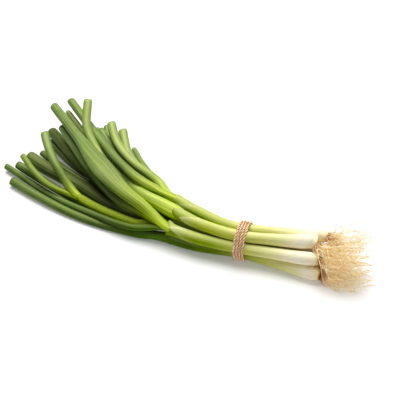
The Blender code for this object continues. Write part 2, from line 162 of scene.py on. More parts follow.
def strand_of(node, near, sides, left_out=0):
    """A CAD strand, ring by ring from its end nearest to a place: distances along it, and its ovals.

    sides is how many points a ring has, and left_out how many of the last rings aren't wanted.
    """
    solid = bmesh.new()
    solid.from_mesh(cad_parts[node].data)
    bmesh.ops.remove_doubles(solid, verts=solid.verts, dist=1e-6)
    solid.verts.index_update()
    ring = sorted(solid.verts, key=lambda vert: (vert.co / MM - Vector(near)).length)[:sides]
    rings, seen = [], set(ring)
    while ring:
        rings.append(np.array([vert.co / MM for vert in ring]))
        around = {edge.other_vert(vert) for vert in ring for edge in vert.link_edges} - seen
        ring = sorted(around, key=lambda vert: vert.index)
        seen |= around
    solid.free()
    rings = rings[:len(rings) - left_out]
    middles = np.array([points.mean(axis=0) for points in rings])
    ovals = [np.array(part) for part in zip(*map(oval, rings, np.gradient(middles, axis=0)))]
    return length_along(middles), ovals


def turns_round(columns):
    """The angle of each column of a tube."""
    return np.linspace(0, 2 * math.pi, columns, endpoint=False)


def across(p, q, turn):
    """The way out from each middle of a strand at each turn: p at its top, and q a quarter turn on."""
    return p[:, None] * np.cos(turn)[None, :, None] + q[:, None] * np.sin(turn)[None, :, None]


def wave_round(rng, count, rows, columns, spacing, wavelength):
    """A soft random height over a tube, from count waves round it that drift along it."""
    turn = turns_round(columns)
    run = np.arange(rows) * spacing
    height = np.zeros((rows, columns))
    for order in range(1, count + 1):
        phase = rng.uniform(0, 2 * math.pi) + rng.uniform(-1, 1) * run / wavelength * math.pi
        swell = np.sin(run / wavelength * math.pi * rng.uniform(0.6, 1.4) + rng.uniform(0, 6))
        height += (0.6 + 0.4 * swell[:, None]) * np.cos(order * turn[None] + phase[:, None]) / order
    return height


def outward(skin):
    """The unit normal of a rolled skin at each of its points."""
    round_it = np.roll(skin, -1, axis=1) - np.roll(skin, 1, axis=1)
    along_it = np.gradient(skin, axis=0)
    normal = np.cross(round_it, along_it)
    size = np.linalg.norm(normal, axis=2, keepdims=True)
    normal /= np.maximum(size, 1e-9)
    middle = skin.mean(axis=1, keepdims=True)
    facing = np.sign(np.sum(normal * (skin - middle)))
    return normal * facing


def rolled_tube(name, skin, along, girth, marks, wall=0.0):
    """A flat grid rolled up into a tube, with its long edges welded.

    skin[row][column] are its places, and along is how far each row lies along it.  The grain
    attribute holds each point's place on the straight tube, in metres: two across it on a circle of
    that girth, and the distance along it.  marks are further values at the points, by attribute name.
    """
    rows, columns = skin.shape[:2]
    bpy.ops.object.select_all(action="DESELECT")
    bpy.ops.mesh.primitive_grid_add(x_subdivisions=columns, y_subdivisions=rows - 1, size=1)
    piece = bpy.context.object
    piece.name = piece.data.name = name
    flat = np.zeros(len(piece.data.vertices) * 3, np.float32)
    piece.data.vertices.foreach_get("co", flat)
    flat = flat.reshape(-1, 3)
    column = np.rint((flat[:, 0] + 0.5) * columns).astype(int) % columns
    row = np.rint((flat[:, 1] + 0.5) * (rows - 1)).astype(int)
    piece.data.vertices.foreach_set("co", (skin[row, column] * MM).astype(np.float32).ravel())
    turn = column * 2 * math.pi / columns
    radius = girth / (2 * math.pi)
    grain = np.stack([np.cos(turn) * radius, np.sin(turn) * radius, along[row]], axis=1) * MM
    piece.data.attributes.new("grain", "FLOAT_VECTOR", "POINT").data.foreach_set("vector", grain.ravel())
    for mark, values in marks.items():
        piece.data.attributes.new(mark, "FLOAT", "POINT").data.foreach_set("value", values[row, column])
    bpy.ops.object.mode_set(mode="EDIT")
    bpy.ops.mesh.select_all(action="SELECT")
    bpy.ops.mesh.remove_doubles(threshold=0.002 * MM)
    bpy.ops.mesh.normals_make_consistent(inside=False)
    bpy.ops.object.mode_set(mode="OBJECT")
    bpy.ops.object.shade_smooth()
    if wall:
        shell = piece.modifiers.new("wall", "SOLIDIFY")
        shell.thickness = wall * MM
        shell.offset = -1.0
        shell.material_offset = 1
        shell.material_offset_rim = 1
        bpy.ops.object.modifier_apply(modifier=shell.name)
    return piece


def colour(code):
    """An sRGB hex colour as a linear one with alpha."""
    parts = [int(code[i:i + 2], 16) / 255 for i in (1, 3, 5)]
    return (*(part / 12.92 if part <= 0.04045 else ((part + 0.055) / 1.055) ** 2.4 for part in parts), 1.0)


def add_node(material, kind, links=None, values=None, **settings):
    """Adds a node with its settings, its sockets' values, and links from other nodes' outputs."""
    node = material.node_tree.nodes.new(kind)
    for name, value in settings.items():
        setattr(node, name, value)
    for socket, value in (values or {}).items():
        node.inputs[socket].default_value = value
    for socket, source in (links or {}).items():
        output = source if isinstance(source, bpy.types.NodeSocket) else source.outputs[0]
        material.node_tree.links.new(output, node.inputs[socket])
    return node


def new_material(name, **values):
    """A material with a Principled surface, and that node."""
    material = bpy.data.materials.new(name)
    material.use_nodes = True
    surface = material.node_tree.nodes["Principled BSDF"]
    for socket, value in values.items():
        surface.inputs[socket.replace("_", " ")].default_value = value
    return material, surface


def set_ramp(node, stops):
    """Puts these stops on a colour ramp: places from 0 to 1 and hex colours."""
    marks = node.color_ramp.elements
    while len(marks) < len(stops):
        marks.new(1.0)
    for mark, (place, code) in zip(marks, stops):
        mark.position = place
        mark.color = colour(code)
    return node


def streaks(material, fine, long, detail=3.0):
    """Noise drawn out along a strand: fine is its width in mm, and long its length in mm."""
    grain = add_node(material, "ShaderNodeAttribute", attribute_name="grain")
    scale = (1 / (fine * MM), 1 / (fine * MM), 1 / (long * MM))
    drawn = add_node(material, "ShaderNodeMapping", {"Vector": grain.outputs["Vector"]}, {"Scale": scale})
    return add_node(material, "ShaderNodeTexNoise", {"Vector": drawn}, {"Scale": 1.0, "Detail": detail,
                                                                        "Roughness": 0.6})


def distance_along(material, longest, shift=0.0):
    """The distance along a strand as a share of the longest, from 0 to 1."""
    grain = add_node(material, "ShaderNodeAttribute", attribute_name="grain")
    parts = add_node(material, "ShaderNodeSeparateXYZ", {0: grain.outputs["Vector"]})
    return add_node(material, "ShaderNodeMapRange", {"Value": parts.outputs["Z"]},
                    {"From Min": shift * MM, "From Max": (shift + longest) * MM})


def paint_top_highlight(material, tint, pale, most):
    """Paints a highlight: the side of a stem or leaf that faces up is made paler, as where light from
    above falls on it.
    """
    upward = add_node(material, "ShaderNodeAttribute", attribute_name="upward")
    top_highlight = add_node(material, "ShaderNodeMapRange", {"Value": upward.outputs["Fac"]},
                   {"From Min": 0.3, "From Max": 0.95, "To Max": most})
    paling = add_node(material, "ShaderNodeMix", {"Factor": top_highlight, 6: tint}, {7: colour(pale)},
                     data_type="RGBA")
    return paling.outputs[2]


def shank_material(name, white, greens, mouth_tip):
    """Living onion skin: waxy, with fine veins, white in the soil and yellow green above it, and a painted
    highlight on its upper side.

    The sheath's edge is thin and pale, and inside it the younger leaves are greener.  A young stem
    never was in the soil, so its white is 0.
    """
    material, surface = new_material(name, Roughness=0.4, Specular_IOR_Level=0.18,
                                     Specular_Tint=colour("#FFFFA0"), Subsurface_Weight=0.35,
                                     Subsurface_Scale=0.002)
    surface.inputs["Subsurface Radius"].default_value = (1.0, 0.85, 0.6)
    share = distance_along(material, SHANK_TINTS)
    middle_green, top_green, inner_green = greens
    stops = [(0.0, middle_green), (0.3, top_green)]
    if white:
        stops = [(0.0, "#94683C"), (0.006, "#C8A070"), (0.02, "#F7E6C4"), (0.10, "#FFF4DC"),
                 ((white - 6) / SHANK_TINTS, "#FCF0CC"), ((white + 5) / SHANK_TINTS, "#EFE8B0"),
                 ((white + 32) / SHANK_TINTS, "#D8D980"), (0.62, middle_green), (1.0, top_green)]
    sheath = set_ramp(add_node(material, "ShaderNodeValToRGB", {"Fac": share}), stops)
    mouth = add_node(material, "ShaderNodeAttribute", attribute_name="mouth_distance")
    inside = add_node(material, "ShaderNodeMapRange", {"Value": mouth.outputs["Fac"]},
                      {"From Min": -1.5 * MM, "From Max": 1.0 * MM})
    tint = add_node(material, "ShaderNodeMix", {"Factor": inside, 7: sheath}, {6: colour(inner_green)},
                    data_type="RGBA").outputs[2]
    veins = streaks(material, 0.8, 60)
    # The veins hardly show in the white, and more in the green.
    depth = add_node(material, "ShaderNodeMapRange", {"Value": share},
                     {"From Min": (white - 10) / SHANK_TINTS, "From Max": (white + 30) / SHANK_TINTS,
                      "To Min": 0.96, "To Max": 0.74})
    soft = add_node(material, "ShaderNodeMapRange", {"Value": veins, "To Max": depth},
                    {"From Min": 0.35, "From Max": 0.7, "To Min": 1.08})
    veined = add_node(material, "ShaderNodeMix", {6: tint, 7: soft}, {"Factor": 1.0}, data_type="RGBA",
                      blend_type="MULTIPLY")
    # The pale edge fades into the green below it, and away from the mouth's tip.  A young stem has
    # no such edge, and a weaker painted highlight on its upper side.
    edge, top_highlight = (0.6, 0.36) if white else (0.0, 0.12)
    fade = add_node(material, "ShaderNodeMapRange", {"Value": mouth.outputs["Fac"]},
                    {"From Max": 14 * MM, "To Min": edge, "To Max": edge * 0.4})
    near_tip = distance_along(material, 30, shift=mouth_tip - 30)
    strength = add_node(material, "ShaderNodeMath", {0: inside, 1: fade}, operation="MULTIPLY")
    strength = add_node(material, "ShaderNodeMath", {0: strength, 1: near_tip}, operation="MULTIPLY")
    pale = add_node(material, "ShaderNodeMix", {"Factor": strength, 6: veined.outputs[2]},
                    {7: colour("#F6F0D0")}, data_type="RGBA")
    # The side that faces up gets a painted highlight.
    tint = paint_top_highlight(material, pale.outputs[2], "#F6F3CA", top_highlight)
    material.node_tree.links.new(tint, surface.inputs["Base Color"])
    bump = add_node(material, "ShaderNodeBump", {"Height": veins}, {"Strength": 0.3, "Distance": 0.1 * MM})
    material.node_tree.links.new(bump.outputs[0], surface.inputs["Normal"])
    return material


def finish_piece(piece, slot, *nodes):
    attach(piece, "root")
    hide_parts(*nodes)


def gathered(strand, stem, size, reach):
    """A leaf's strand, led smoothly out of its stem, and thick near it where it is still wrapped."""
    along, parts = strand
    _, (stem_middle, stem_p, _) = stem
    wanted = np.linspace(0, along[-1], round(along[-1] / ROUTE_SPACING) + 1)
    middle, p, q = (smooth_between(part, along, wanted) for part in parts)
    far = np.clip(wanted / reach, 0, 1)[:, None]
    near = 1 - far**2 * (3 - 2 * far)
    wrapped = size * np.linalg.norm(stem_p[-1])
    p, q = (half * (1 + (np.maximum(wrapped / np.linalg.norm(half, axis=1)[:, None], 1) - 1) * near)
            for half in (p, q))
    joined = int(np.searchsorted(wanted, PARTING_LENGTH))
    heading = wanted[joined] * unit(stem_middle[-1] - stem_middle[-2])
    onward = wanted[joined] * unit(middle[joined + 1] - middle[joined - 1])
    t = (wanted[:joined] / wanted[joined])[:, None]
    middle[:joined] = bent(t, stem_middle[-1], heading, middle[joined], onward)
    return length_along(middle), [middle, p, q]


shank_strands = {name: strand_of(name + "_shank", (FAR, 0, 0), CAD_SHANK_SIDES) for name in ONIONS}
leaf_names = sorted(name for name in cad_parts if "leaf" in name)
leaf_strands = {name: strand_of(name, (FAR, 0, 0), CAD_LEAF_SIDES, left_out=CAD_MOUTH_RINGS)
                for name in leaf_names}
leaf_strands[YOUNG_STEM] = strand_of(YOUNG_STEM, (FAR, 0, 0), CAD_LEAF_SIDES)
# The leaves that part at each fork: the young stem parts again into two leaves of its own.
PARTING = {name: [leaf for leaf in leaf_names if leaf.startswith(name)] for name in ONIONS}
PARTING["onion_5"] = [YOUNG_STEM, "onion_5_leaf_c"]
PARTING[YOUNG_STEM] = ["onion_5_leaf_a", "onion_5_leaf_b"]
for stem, leaves in PARTING.items():
    stem_strand = leaf_strands[stem] if stem == YOUNG_STEM else shank_strands[stem]
    for leaf in leaves:
        gather = GATHER_MAIN if leaf in MAIN_LEAVES else GATHER
        leaf_strands[leaf] = gathered(leaf_strands[leaf], stem_strand, *gather)


def reach_of(middle, p, q, centre, way):
    """How far an oval reaches from a centre in each direction across a strand: 0 where it isn't met."""
    size_p, size_q = (np.sum(half**2, axis=1)[:, None] for half in (p, q))
    at_p, at_q = (np.sum((centre - middle) * half, axis=1)[:, None] for half in (p, q))
    way_p, way_q = (np.sum(way * half[:, None], axis=2) for half in (p, q))
    square = (way_p / size_p)**2 + (way_q / size_q)**2
    offset = at_p * way_p / size_p**2 + at_q * way_q / size_q**2
    root = offset**2 - square * ((at_p / size_p)**2 + (at_q / size_q)**2 - 1)
    return np.where(root > 0, np.maximum(np.sqrt(np.maximum(root, 0)) - offset, 0) / square, 0)


def sleeve(inner, start_radius, mouth_turn):
    """The skin from the end of a stem to past the fork, drawn tight round the leaves.

    It goes under them in a slanting line: soon on the mouth's side, and late on the other.
    """
    turn = turns_round(SHANK_COLUMNS)
    far = np.linspace(0, SLEEVE_LENGTH, SLEEVE_ROWS + 1)[1:]
    ovals = [[smooth_between(part, along, far) for part in parts] for along, parts in inner]
    centre = np.mean([parts[0] for parts in ovals], axis=0)
    ahead = unit(centre - np.mean([parts[0][0] for _, parts in inner], axis=0))
    side = unit(UP - (ahead @ UP)[:, None] * ahead)
    way = across(side, np.cross(ahead, side), turn)
    reach = np.max([reach_of(*parts, centre, way) for parts in ovals], axis=0)
    # Corners between the leaves are drawn in by a column on each side.
    reach = np.min([np.roll(reach, step, axis=1) for step in (-1, 0, 1)], axis=0)
    share = (far / SLEEVE_LENGTH)[:, None]
    tuck = SLEEVE_TUCK + SLEEVE_TUCK_MORE * np.cos(turn - mouth_turn)
    radius = start_radius * (1 - share) + reach * share + SLEEVE_EASE - tuck * share**2
    radius = np.maximum(radius, 0.5)
    return centre[:, None] + way * radius[..., None], far


def make_shank(name, node, strand, inner, seed, white, greens, mouth):
    """A shank, or the young stem, from its closed end to its fork.

    inner are the strands of the leaves that part there.
    """
    along, parts = strand
    rng = np.random.default_rng(seed)
    rows = round(along[-1] / SHANK_SPACING) + 1
    wanted = np.linspace(0, along[-1], rows)
    middle, p, q = (smooth_between(part, along, wanted) for part in parts)
    turn = turns_round(SHANK_COLUMNS)
    skin = middle[:, None] + across(p, q, turn)
    mouth_turn, mouth_tip = math.radians(mouth[0]), along[-1] + mouth[1]
    past, far = sleeve(inner, np.linalg.norm(p[-1]), mouth_turn)
    run = np.concatenate([wanted, along[-1] + far])[:, None]
    to_mouth = mouth_tip - MOUTH_SLANT * np.abs(np.sin((turn - mouth_turn) / 2)) - run
    lumps = wave_round(rng, 4, rows, SHANK_COLUMNS, SHANK_SPACING, 60) * SHANK_LUMPS
    sheath = SHEATH_STEP / (1 + np.exp(-to_mouth[:rows] / 0.8))
    skin += outward(skin) * (lumps + sheath)[..., None]
    plate = middle[0] + (skin[0] - middle[0])[None] * PLATE_SIZES[:, None, None]
    plate -= unit(middle[1] - middle[0]) * PLATE_DEPTHS[:, None, None]
    full = np.concatenate([plate, skin, past])
    full[..., 2] = np.maximum(full[..., 2], LOWEST)
    far_below = np.full((len(plate), SHANK_COLUMNS), 100.0)
    # upward is how far each point faces up: it sets the painted highlight on the upper side.
    marks = {"mouth_distance": np.concatenate([far_below, to_mouth]) * MM, "upward": outward(full)[..., 2]}
    run = np.concatenate([np.zeros(len(plate)), run[:, 0]])
    piece = rolled_tube(name, full, run, SHANK_GIRTH, marks, wall=SHEATH_WALL)
    piece.data.materials.append(shank_material(name + "_skin", white, greens, mouth_tip))
    piece.data.materials.append(piece.data.materials[0])
    finish_piece(piece, "shank", node)


for number, name in enumerate(ONIONS):
    inner = [leaf_strands[leaf] for leaf in PARTING[name]]
    make_shank(name + "_white_shank", name + "_shank", shank_strands[name], inner, 10 + number,
               WHITE_LENGTH[name], SHANK_GREENS.get(name, BRIGHT_GREENS), MOUTHS[name])
# Inside the middle onion a younger stem runs on past the fork, and parts into two leaves of its own.
inner = [leaf_strands[leaf] for leaf in PARTING[YOUNG_STEM]]
make_shank("onion_5_inner_stem", YOUNG_STEM, leaf_strands[YOUNG_STEM], inner, 20, 0, YOUNG_GREENS,
           MOUTHS[YOUNG_STEM])

# ---------------------------------------------------------------------------------- leaves
# Each leaf is a hollow tube with a wall of about half a millimetre, cut off square with a knife.
# Fine veins run along it, and a thin wax bloom greys its green, most of all towards the tip.
LEAF_WALL = 0.55
LEAF_COLUMNS, LEAF_SPACING = 84, 2.6
TOUCHING = 0.3              # leaves swell this much to lie against each other
TUCKED = (0.9, 4.5)         # how much thinner a leaf starts inside its sheath, and for how far
PINCHED = (0.25, 1.5)       # how much the knife pinched its cut end, and for how far
LEAF_LUMPS = 0.25           # how high the soft lumps in its skin are
RIBS_ROUND = 14
# How high the lengthwise ribs are, and how strongly the veins are shaded.
FINE_RIBS, COARSE_RIBS = (0.06, 0.42), (0.14, 0.66)
COARSE_LEAVES = ["onion_3_leaf_a", "onion_3_leaf_b", "onion_7_leaf_a", "onion_5_leaf_c"]

# Colours at the fork, in the middle and at the tip, and how thick the bloom is, which also sets the
# painted highlight.
LEAF_KINDS = {
    "fresh": ("#A8BC1C", "#4E6A02", "#54761A", 0.55),
    "waxy": ("#B0C428", "#7A9412", "#789036", 0.8),
    "young": ("#A4BA06", "#7A9204", "#6E8820", 0.4),
    "dull": ("#566C0A", "#364A04", "#465C12", 0.35),
    "dark": ("#5A7C04", "#3C5E04", "#4A6A0E", 0.4),
}
# The leaves that aren't fresh.  The dull and dark ones lie low or deep in the bunch: their darker
# greens are partly their own and partly painted shade.
KIND_OF = {"onion_1_leaf_a": "young", "onion_5_leaf_a": "young",
           "onion_1_leaf_b": "waxy", "onion_2_leaf_a": "waxy", "onion_2_leaf_b": "waxy",
           "onion_2_leaf_c": "waxy", "onion_6_leaf_a": "waxy",
           "onion_5_leaf_c": "dull", "onion_7_leaf_a": "dull", "onion_7_leaf_b": "dull",
           "onion_7_leaf_c": "dull",
           "onion_3_leaf_c": "dark", "onion_4_leaf_a": "dark", "onion_4_leaf_b": "dark"}


def leaf_material(name, kind, length, shading):
    """Living onion leaf under its wax bloom: a soft, broad gloss, and fine lengthwise veins."""
    fork, middle, tip, bloom = LEAF_KINDS[kind]
    material, surface = new_material(name, Roughness=0.36, Specular_IOR_Level=0.35,
                                     Specular_Tint=colour("#FFFFA0"), Subsurface_Weight=0.1,
                                     Subsurface_Scale=0.001)
    surface.inputs["Subsurface Radius"].default_value = (0.6, 1.0, 0.2)
    share = distance_along(material, length)
    tint = set_ramp(add_node(material, "ShaderNodeValToRGB", {"Fac": share}),
                    [(0.06, fork), (0.36, middle), (1.0, tip)])
    veins = streaks(material, 1.0, 110)
    shade = add_node(material, "ShaderNodeMapRange", {"Value": veins},
                     {"From Min": 0.32, "From Max": 0.68, "To Min": 1 + shading, "To Max": 1 - shading})
    veined = add_node(material, "ShaderNodeMix", {6: tint, 7: shade}, {"Factor": 1.0}, data_type="RGBA",
                      blend_type="MULTIPLY")
    patches = streaks(material, 9, 30, 2.0)
    paling = add_node(material, "ShaderNodeMapRange", {"Value": patches},
                     {"From Min": 0.35, "From Max": 0.65, "To Min": bloom * 0.2, "To Max": bloom * 0.7})
    along_bloom = add_node(material, "ShaderNodeMath", {0: paling, 1: share}, operation="MULTIPLY")
    bloomed = add_node(material, "ShaderNodeMix", {"Factor": along_bloom, 6: veined.outputs[2]},
                       {7: colour("#BAC49C")}, data_type="RGBA")
    # The side that faces up gets a painted highlight, stronger on leaves with more bloom.
    tint = paint_top_highlight(material, bloomed.outputs[2], "#DCE2AA", bloom * 0.4)
    material.node_tree.links.new(tint, surface.inputs["Base Color"])
    bump = add_node(material, "ShaderNodeBump", {"Height": veins}, {"Strength": 0.5, "Distance": 0.2 * MM})
    material.node_tree.links.new(bump.outputs[0], surface.inputs["Normal"])
    return material


# The inside of a leaf is paler and wetter than its outside, and so is the cut edge.
leaf_inside, surface = new_material("pale_leaf_inside", Roughness=0.4, Subsurface_Weight=0.2,
                                    Subsurface_Scale=0.002)
surface.inputs["Base Color"].default_value = colour("#C3D08A")


def make_leaf(name, seed):
    """A leaf from inside its sheath to its cut end."""
    along, parts = leaf_strands[name]
    rng = np.random.default_rng(seed)
    rows = round(along[-1] / LEAF_SPACING) + 1
    wanted = np.linspace(0, along[-1], rows)
    middle, p, q = (smooth_between(part, along, wanted) for part in parts)
    turn = turns_round(LEAF_COLUMNS)
    skin = middle[:, None] + across(p, q, turn)
    from_sheath = np.clip(wanted / 30, 0, 1)[:, None]
    lumps = wave_round(rng, 3, rows, LEAF_COLUMNS, LEAF_SPACING, 45) * LEAF_LUMPS
    height, shading = COARSE_RIBS if name in COARSE_LEAVES else FINE_RIBS
    drift = (rng.uniform(0, 6) + 0.4 * np.sin(wanted / 40 + rng.uniform(0, 6)))[:, None]
    ribs = height * np.cos(RIBS_ROUND * turn + drift) * (0.6 + 0.4 * np.cos(2 * turn + drift))
    pinched = PINCHED[0] * np.exp(-(along[-1] - wanted) / PINCHED[1])[:, None]
    tucked = TUCKED[0] * np.exp(-(wanted / TUCKED[1])**2)[:, None]
    skin += outward(skin) * (TOUCHING + (lumps + ribs) * from_sheath - pinched - tucked)[..., None]
    # The knife never cuts quite square.
    slant = rng.uniform(-0.12, 0.12, 2)
    tip = np.exp(-(along[-1] - wanted) / 8)[:, None]
    cut = tip * (slant[0] * np.cos(turn) + slant[1] * np.sin(turn)) * np.linalg.norm(p[-1])
    skin += cut[..., None] * unit(middle[-1] - middle[-2])
    skin[..., 2] = np.maximum(skin[..., 2], LOWEST)
    girth = math.pi * np.linalg.norm(p[-1]) * 2
    # upward is how far each point faces up: it sets the painted highlight on the upper side.
    marks = {"upward": outward(skin)[..., 2]}
    piece = rolled_tube(name + "_tube", skin, wanted, girth, marks, wall=LEAF_WALL)
    kind = KIND_OF.get(name, "fresh")
    piece.data.materials.append(leaf_material(name + "_skin", kind, along[-1], shading))
    piece.data.materials.append(leaf_inside)
    finish_piece(piece, "leaf", name)


for number, name in enumerate(leaf_names):
    make_leaf(name, 100 + number)

# ---------------------------------------------------------------------------------- roots
# Below each bulb a tuft of fine dry roots grows from the basal plate.  They are cream, and tan where
# they leave it, matted together near the plate and loose and curly beyond it.
ROOT_STEPS = 14
ROOT_STRAY = 7.0            # how far a root may lie outside the bunch's box
SHORT_ROOTS, LONG_ROOTS = (14, 36), (36, 58)
SHORT_SHARE = 0.55          # of the roots that aren't lifted
LIFTED_EVERY = 6            # one root in so many is thin and long, rises, and has more side roots
LIFTED_THICK, ROOT_THICK = 0.25, (0.32, 0.52)
ROOT_WANDER = 0.085         # how much a root turns by chance at each step
# Each tuft's count of roots, and the way they sweep.
TUFTS = {"onion_1": (62, (0.6, 0.12, 0.02)), "onion_2": (78, (0.6, 0.16, -0.04)),
         "onion_3": (72, (0.6, 0.12, -0.08)), "onion_4": (72, (0.6, 0.05, -0.05)),
         "onion_5": (44, (0.6, 0.2, -0.1)), "onion_6": (44, (0.6, 0.3, -0.05)),
         "onion_7": (38, (0.6, 0.2, -0.05))}


def side_roots(rng, points, headings, count):
    """Short thin roots that branch off the outer half of a root."""
    paths = []
    for _ in range(count):
        at = rng.integers(ROOT_STEPS // 2, ROOT_STEPS)
        way = unit(headings[at] + rng.normal(0, 0.5, 3))
        bend = rng.normal(0, 0.12, 3)
        share = np.linspace(0, 1, 5)[:, None]
        branch = points[at] + (way * share + bend * share**2) * rng.uniform(4, 10)
        branch[:, 2] = np.maximum(branch[:, 2], 0.25)
        paths.append((branch, np.linspace(0.2, 0.1, 5)))
    return paths


def root_paths(start, axis, radius, count, sweep, seed):
    """The places and thicknesses of the roots of one tuft.

    Each leaves the plate along its own spoke, turns towards its goal and curls by chance.  A root
    that leaves the bunch's box turns back.
    """
    rng = np.random.default_rng(seed)
    low, high = np.array(cad_box) / MM
    side = unit(np.cross(axis, UP))
    other = np.cross(axis, side)
    sweep = unit(axis + sweep)
    paths = []
    for number in range(count):
        lifted = number % LIFTED_EVERY == 0
        turn = rng.uniform(0, 2 * math.pi)
        out = math.sqrt(rng.uniform(0.0, 1.0))
        spoke = side * math.cos(turn) + other * math.sin(turn)
        short = rng.random() < SHORT_SHARE and not lifted
        length = rng.uniform(*(SHORT_ROOTS if short else LONG_ROOTS))
        thick = LIFTED_THICK if lifted else rng.uniform(*ROOT_THICK)
        heading = unit(axis * 1.2 + spoke * out * rng.uniform(0.5, 1.4))
        goal = unit(sweep + spoke * rng.uniform(-0.2, 0.3) + rng.normal(0, 0.14, 3))
        curl = rng.normal(0, 0.08, 3)
        place = start + spoke * out * radius
        points, headings = [place], [heading]
        for step in range(ROOT_STEPS):
            if lifted and step == ROOT_STEPS // 2:
                goal = unit(goal + np.array([0, 0.6, 0.6]) * rng.uniform(0.4, 1.3))
            curl = curl * 0.75 + rng.normal(0, ROOT_WANDER, 3)
            beyond = place - np.clip(place, low, high)
            heading = unit(heading * 0.75 + goal * 0.25 + curl - beyond * 0.06)
            place = np.clip(place + heading * length / ROOT_STEPS, low - ROOT_STRAY, high + ROOT_STRAY)
            if place[2] < thick + LOWEST:
                place[2] = thick + LOWEST
                heading[2] = abs(heading[2]) * 0.3
            points.append(place)
            headings.append(heading)
        paths.append((np.array(points), thick * np.linspace(1.1, 0.45, ROOT_STEPS + 1)))
        paths += side_roots(rng, points, headings, rng.integers(2, 5) if lifted else rng.integers(0, 2))
    return paths


def thread_bundle(name, paths):
    """Many thin threads as one mesh, each a curve with a four-sided bevel."""
    curve = bpy.data.curves.new(name, "CURVE")
    curve.dimensions = "3D"
    curve.bevel_depth = MM
    curve.bevel_resolution = 0
    curve.use_fill_caps = True
    for points, sizes in paths:
        spline = curve.splines.new("POLY")
        spline.points.add(len(points) - 1)
        spline.points.foreach_set("co", np.c_[points * MM, np.ones(len(points))].ravel())
        spline.points.foreach_set("radius", sizes)
    piece = bpy.data.objects.new(name, curve)
    bpy.context.collection.objects.link(piece)
    bpy.ops.object.select_all(action="DESELECT")
    piece.select_set(True)
    bpy.context.view_layer.objects.active = piece
    bpy.ops.object.convert(target="MESH")
    bpy.ops.object.mode_set(mode="EDIT")
    bpy.ops.mesh.select_all(action="SELECT")
    bpy.ops.mesh.remove_doubles(threshold=0.001 * MM)
    bpy.ops.mesh.normals_make_consistent(inside=False)
    bpy.ops.object.mode_set(mode="OBJECT")
    bpy.ops.object.shade_smooth()
    return piece


# Dry onion root: dull, and so thin that light comes through it.  The faint glow stands for the
# light that a real tuft passes from thread to thread.
root_skin, surface = new_material("dry_onion_root", Roughness=0.65, Emission_Strength=0.15)
surface.inputs["Emission Color"].default_value = colour("#FFF0D0")
# Its mottle is about 17 mm long and 2 mm wide.
MOTTLE_SIZE = (1000 / 60, 2, 2)
place = add_node(root_skin, "ShaderNodeTexCoord")
drawn = add_node(root_skin, "ShaderNodeMapping", {"Vector": place.outputs["Object"]},
                 {"Scale": [1 / (size * MM) for size in MOTTLE_SIZE]})
mottle = add_node(root_skin, "ShaderNodeTexNoise", {"Vector": drawn},
                  {"Scale": 1.0, "Detail": 2.0, "Roughness": 0.5})
cream = set_ramp(add_node(root_skin, "ShaderNodeValToRGB", {"Fac": mottle}),
                 [(0.32, "#DCC48C"), (0.44, "#FAEAC6"), (0.56, "#FFFAE8"), (0.7, "#FFFEF6")])
# It is tan where it leaves the plate.
from_plate = add_node(root_skin, "ShaderNodeAttribute", attribute_name="from_plate")
base = add_node(root_skin, "ShaderNodeMapRange", {"Value": from_plate.outputs["Fac"]},
                {"From Min": 0.5 * MM, "From Max": 8 * MM, "To Min": 1.0, "To Max": 0.0})
tint = add_node(root_skin, "ShaderNodeMix", {"Factor": base, 6: cream}, {7: colour("#D4AC74")},
                data_type="RGBA")
root_skin.node_tree.links.new(tint.outputs[2], surface.inputs["Base Color"])
glow = add_node(root_skin, "ShaderNodeBsdfTranslucent", {"Color": tint.outputs[2]})
mixed = add_node(root_skin, "ShaderNodeMixShader", {1: surface, 2: glow}, {0: 0.5})
root_output = root_skin.node_tree.nodes["Material Output"]
root_skin.node_tree.links.new(mixed.outputs[0], root_output.inputs["Surface"])

for number, name in enumerate(ONIONS):
    _, (middle, p, _) = shank_strands[name]
    axis = unit(middle[0] - middle[1])
    start = middle[0] - axis * 0.3
    paths = root_paths(start, axis, np.linalg.norm(p[0]), *TUFTS[name], 200 + number)
    piece = thread_bundle(name + "_root_threads", paths)
    places = np.zeros(len(piece.data.vertices) * 3)
    piece.data.vertices.foreach_get("co", places)
    distance = (places.reshape(-1, 3) - start * MM) @ axis
    piece.data.attributes.new("from_plate", "FLOAT", "POINT").data.foreach_set("value", distance)
    piece.data.materials.append(root_skin)
    finish_piece(piece, "root", name + "_roots")

# ---------------------------------------------------------------------------------- twine
# Two-ply jute twine, wound four times round the stems and tied behind them.  Jute is a coarse,
# hairy bast fibre: tan and dull.  The groove where the two plies meet is darkened with painted shade.
CORD_RADIUS = 1.3
PLY_RADIUS, PLY_OFFSET = 0.72, 0.66
LAY_LENGTH = 7.6            # along the cord, for one turn of its plies
PLY_COLUMNS, CORD_SPACING = 12, 0.55
CAD_CORD_SIDES = 8
KNOT_START = (-14.5, 24.1, 2.5)     # the end of one of its tails
HAIR_THICKNESS = np.array([0.09, 0.08, 0.07, 0.06, 0.03])
HAIR_OUT = 1.2              # hairs lie outside the groove's painted shade: they are as light as the top of a ply


def cord_route(node, near):
    """The middle line of a CAD cord."""
    along, (middle, _, _) = strand_of(node, near, CAD_CORD_SIDES)
    wanted = np.linspace(0, along[-1], round(along[-1] / CORD_SPACING) + 1)
    return smooth_between(middle, along, wanted)


def carried_frame(route):
    """Two directions across a route that turn with it and don't twist."""
    ahead = unit(np.gradient(route, axis=0))
    side = unit(np.cross(ahead[0], UP) + np.array([0, 1e-3, 0]))
    sides = []
    for way in ahead:
        side = unit(side - np.dot(side, way) * way)
        sides.append(side)
    sides = np.array(sides)
    return ahead, sides, np.cross(ahead, sides)


